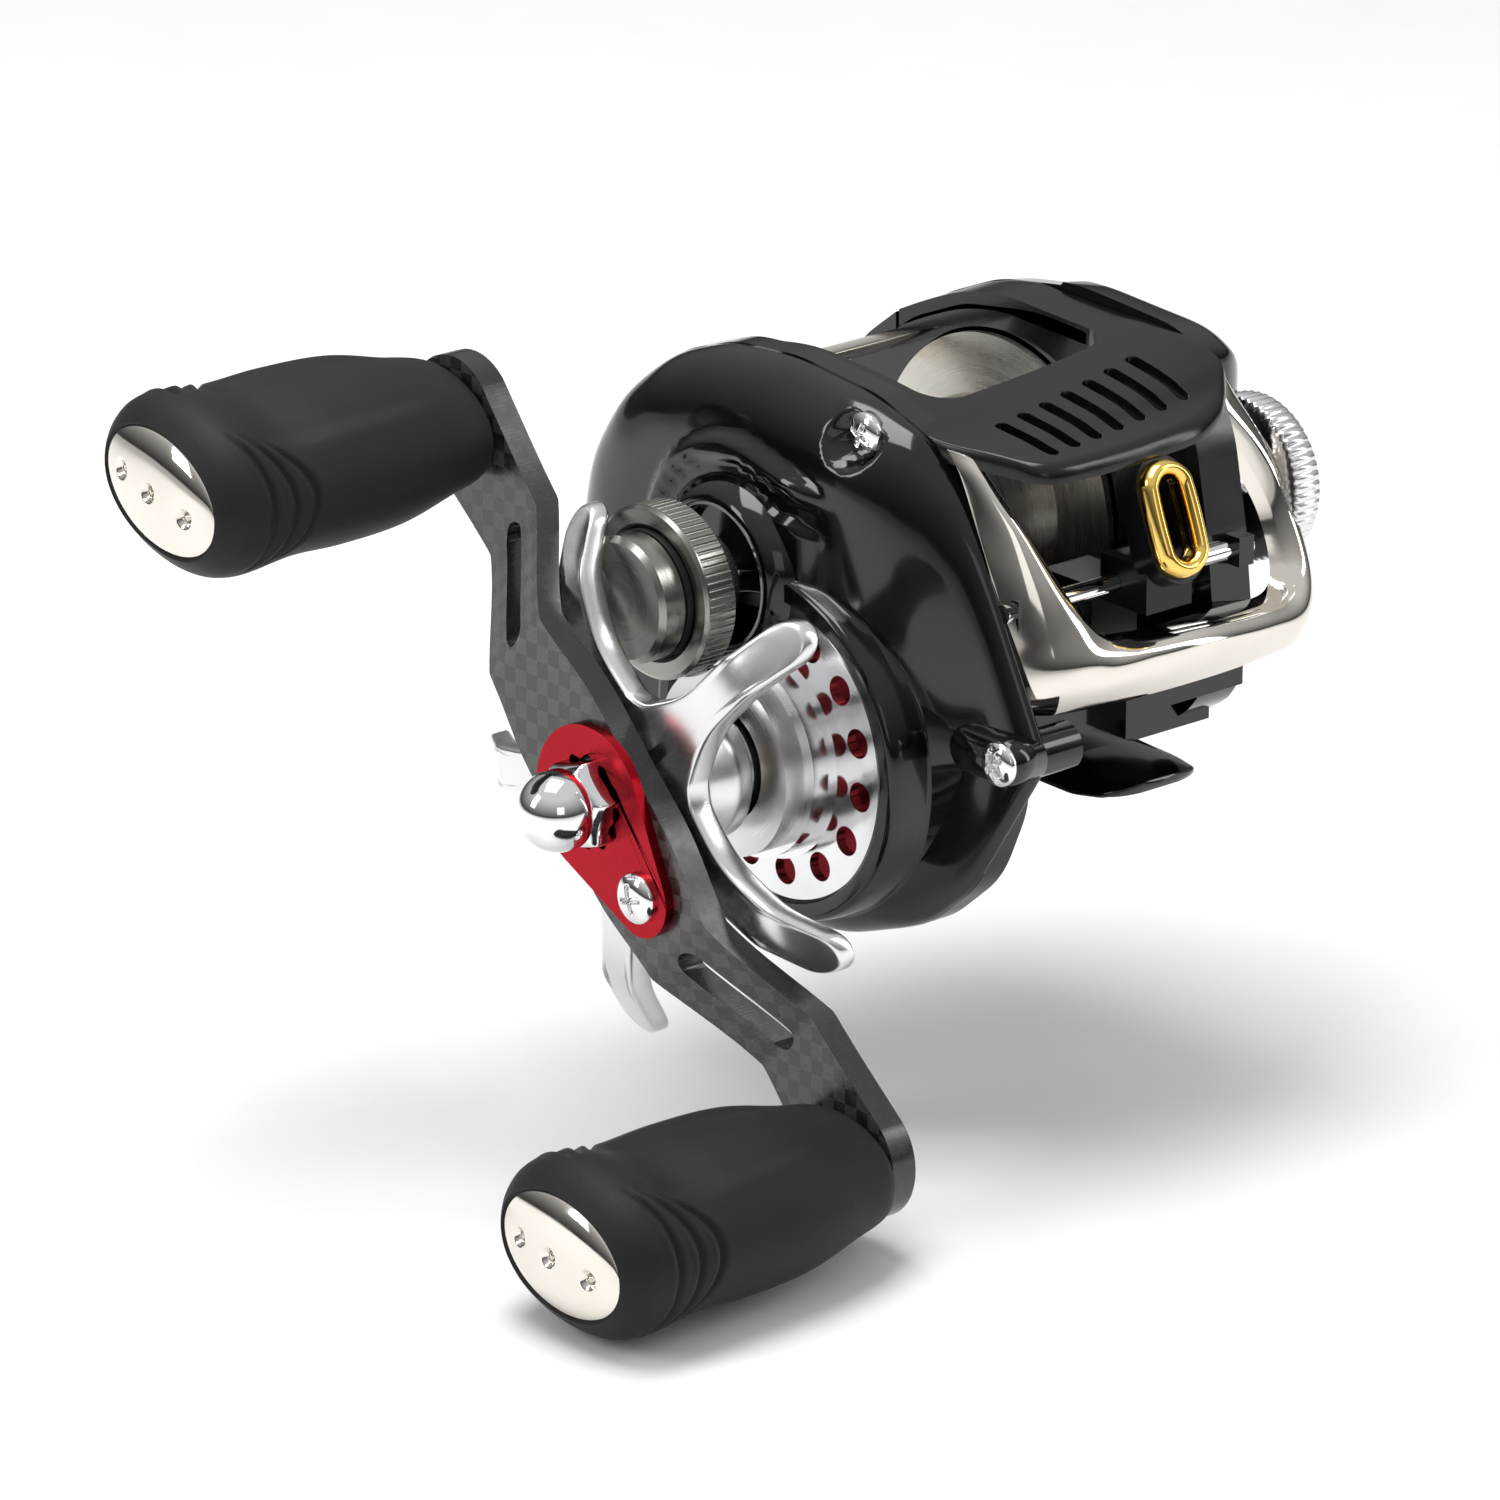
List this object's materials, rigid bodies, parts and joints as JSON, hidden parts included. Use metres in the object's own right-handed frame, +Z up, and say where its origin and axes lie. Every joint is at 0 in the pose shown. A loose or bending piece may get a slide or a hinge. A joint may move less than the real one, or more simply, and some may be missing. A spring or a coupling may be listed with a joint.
{
  "type": "baitcasting reel",
  "caption": "Low-profile baitcasting reel: geared spool, level-wind line guide, star drag, cast control cap, brake dial and double-knob crank, on a rod foot.",
  "frame": {"origin": "centre of the foot's flat base land, on the rod's seat", "axes": "+Z up from the rod, -Y to the front where the line leaves, -X to the handle side, X along the spool axis"},
  "size_m": [0.1142, 0.0878, 0.083],
  "materials": {
    "gloss_black": "gloss black enamel",
    "satin_black": "satin black",
    "bright_front": "warm bright nickel, polished",
    "chrome": "polished chrome",
    "satin_silver": "satin blasted",
    "spool_satin": "satin turned, warm",
    "gunmetal": "turned and knurled, dark",
    "red_anodised": "red anodised",
    "carbon": "woven carbon laminate",
    "knob_foam": "soft matt, fine grain",
    "gold": "polished gold-coloured ring",
    "black_plastic": "moulded black",
    "steel": "ground steel",
    "brass_gear": "machined brass",
    "seal_rubber": "black rubber",
    "magnet": "nickel-plated magnet"
  },
  "bodies": {
    "frame": {"frame": "gloss_black", "reel_foot": "gloss_black", "foot_rivets": "steel", "handle_side_plate": "gloss_black", "side_plate_screws": "chrome", "palm_side_plate": "gloss_black", "top_cover": "satin_black", "nose_cover": "bright_front", "drag_escutcheon": "chrome", "escutcheon_backing": "red_anodised", "roller_clutch": "steel", "clutch_cover": "satin_silver", "drive_shaft_bearing": "steel", "pinion_bearing": "steel", "spool_bearings": "steel", "guide_rod": "chrome", "worm_bushes": "black_plastic", "idler_stud": "steel", "yoke_posts": "steel"},
    "crank": {"drive_shaft": "steel", "main_gear": "brass_gear", "drag_washers": "carbon", "pressure_plate": "steel", "clutch_sleeve": "steel", "spring_washers": "steel", "wind_drive_gear": "black_plastic", "crank_arm": "carbon", "handle_nut": "chrome", "nut_retainer": "red_anodised", "retainer_screw": "chrome", "knob_spindles": "steel"},
    "star": {"star_drag": "satin_silver"},
    "drag_nut": {"drag_nut": "brass_gear"},
    "upper_knob": {"knob_upper": "knob_foam", "knob_cap_upper": "bright_front", "knob_bearings_upper": "steel"},
    "lower_knob": {"knob_lower": "knob_foam", "knob_cap_lower": "bright_front", "knob_bearings_lower": "steel"},
    "spool": {"spool": "spool_satin", "spool_shaft": "steel", "spool_pin": "steel", "brake_rotor": "spool_satin"},
    "pinion": {"pinion": "brass_gear"},
    "yoke": {"clutch_yoke": "black_plastic"},
    "cam": {"clutch_cam": "black_plastic"},
    "thumb_bar": {"thumb_bar": "bright_front"},
    "wind_idler": {"wind_idler": "black_plastic"},
    "worm": {"worm_shaft": "steel", "worm_gear": "black_plastic"},
    "line_guide": {"line_guide_carriage": "black_plastic", "line_guide_ring": "gold", "pawl": "brass_gear", "pawl_cap": "steel"},
    "cast_cap": {"cast_control_cap": "gunmetal", "cap_seal": "seal_rubber", "tension_washer": "brass_gear"},
    "brake_dial": {"brake_dial": "chrome"},
    "magnets": {"magnet_holder": "black_plastic", "brake_magnets": "magnet"}
  },
  "joints": [
    {"name": "crank_turn", "type": "hinge", "parent": "frame", "child": "crank", "pos_m": [0, 0.0011, 0.0032], "axis": [1, 0, 0], "continuous": true},
    {"name": "star_turn", "type": "hinge", "parent": "crank", "child": "star", "pos_m": [0, 0.0011, 0.0032], "axis": [1, 0, 0], "range_deg": [-360, 90]},
    {"name": "drag_nut_travel", "type": "slide", "parent": "star", "child": "drag_nut", "axis": [1, 0, 0], "range_m": [-0.0008, 0.0002]},
    {"name": "upper_knob_turn", "type": "hinge", "parent": "crank", "child": "upper_knob", "pos_m": [0, 0.03275, 0.03519], "axis": [1, 0, 0], "continuous": true},
    {"name": "lower_knob_turn", "type": "hinge", "parent": "crank", "child": "lower_knob", "pos_m": [0, -0.03055, -0.02879], "axis": [1, 0, 0], "continuous": true},
    {"name": "spool_turn", "type": "hinge", "parent": "frame", "child": "spool", "pos_m": [0, 0.009, 0.0204], "axis": [1, 0, 0], "continuous": true},
    {"name": "yoke_travel", "type": "slide", "parent": "frame", "child": "yoke", "axis": [-1, 0, 0], "range_m": [0, 0.0012]},
    {"name": "pinion_turn", "type": "hinge", "parent": "yoke", "child": "pinion", "pos_m": [0, 0.009, 0.0204], "axis": [1, 0, 0], "continuous": true},
    {"name": "cam_turn", "type": "hinge", "parent": "frame", "child": "cam", "pos_m": [0, 0.009, 0.0204], "axis": [1, 0, 0], "range_deg": [-20, 0]},
    {"name": "thumb_bar_press", "type": "slide", "parent": "frame", "child": "thumb_bar", "axis": [0, 0.5, -0.866], "range_m": [0, 0.004]},
    {"name": "idler_turn", "type": "hinge", "parent": "frame", "child": "wind_idler", "pos_m": [0, -0.01085, 0.00687], "axis": [1, 0, 0], "continuous": true},
    {"name": "worm_turn", "type": "hinge", "parent": "frame", "child": "worm", "pos_m": [0, -0.0165, 0.0166], "axis": [1, 0, 0], "continuous": true},
    {"name": "line_guide_travel", "type": "slide", "parent": "frame", "child": "line_guide", "axis": [1, 0, 0], "range_m": [-0.0115, 0.007]},
    {"name": "cast_cap_turn", "type": "hinge", "parent": "frame", "child": "cast_cap", "pos_m": [0, 0.009, 0.0204], "axis": [1, 0, 0], "range_deg": [-180, 180]},
    {"name": "brake_dial_turn", "type": "hinge", "parent": "frame", "child": "brake_dial", "pos_m": [0, -0.0129, 0.0247], "axis": [1, 0, 0], "range_deg": [0, 200]},
    {"name": "magnet_travel", "type": "slide", "parent": "frame", "child": "magnets", "axis": [1, 0, 0], "range_m": [0, 0.003]}
  ],
  "couplings": [
    {"joint": "spool_turn", "follows": "crank_turn", "ratio": -6.3},
    {"joint": "pinion_turn", "follows": "crank_turn", "ratio": -6.3},
    {"joint": "idler_turn", "follows": "crank_turn", "ratio": -0.78571},
    {"joint": "worm_turn", "follows": "crank_turn", "ratio": 1.2941},
    {"joint": "drag_nut_travel", "follows": "star_turn", "m_per_rad": 0.00011141},
    {"joint": "yoke_travel", "follows": "thumb_bar_press", "ratio": 0.3},
    {"joint": "cam_turn", "follows": "thumb_bar_press", "rad_per_m": -87.266},
    {"joint": "magnet_travel", "follows": "brake_dial_turn", "m_per_rad": 0.00085944}
  ]
}
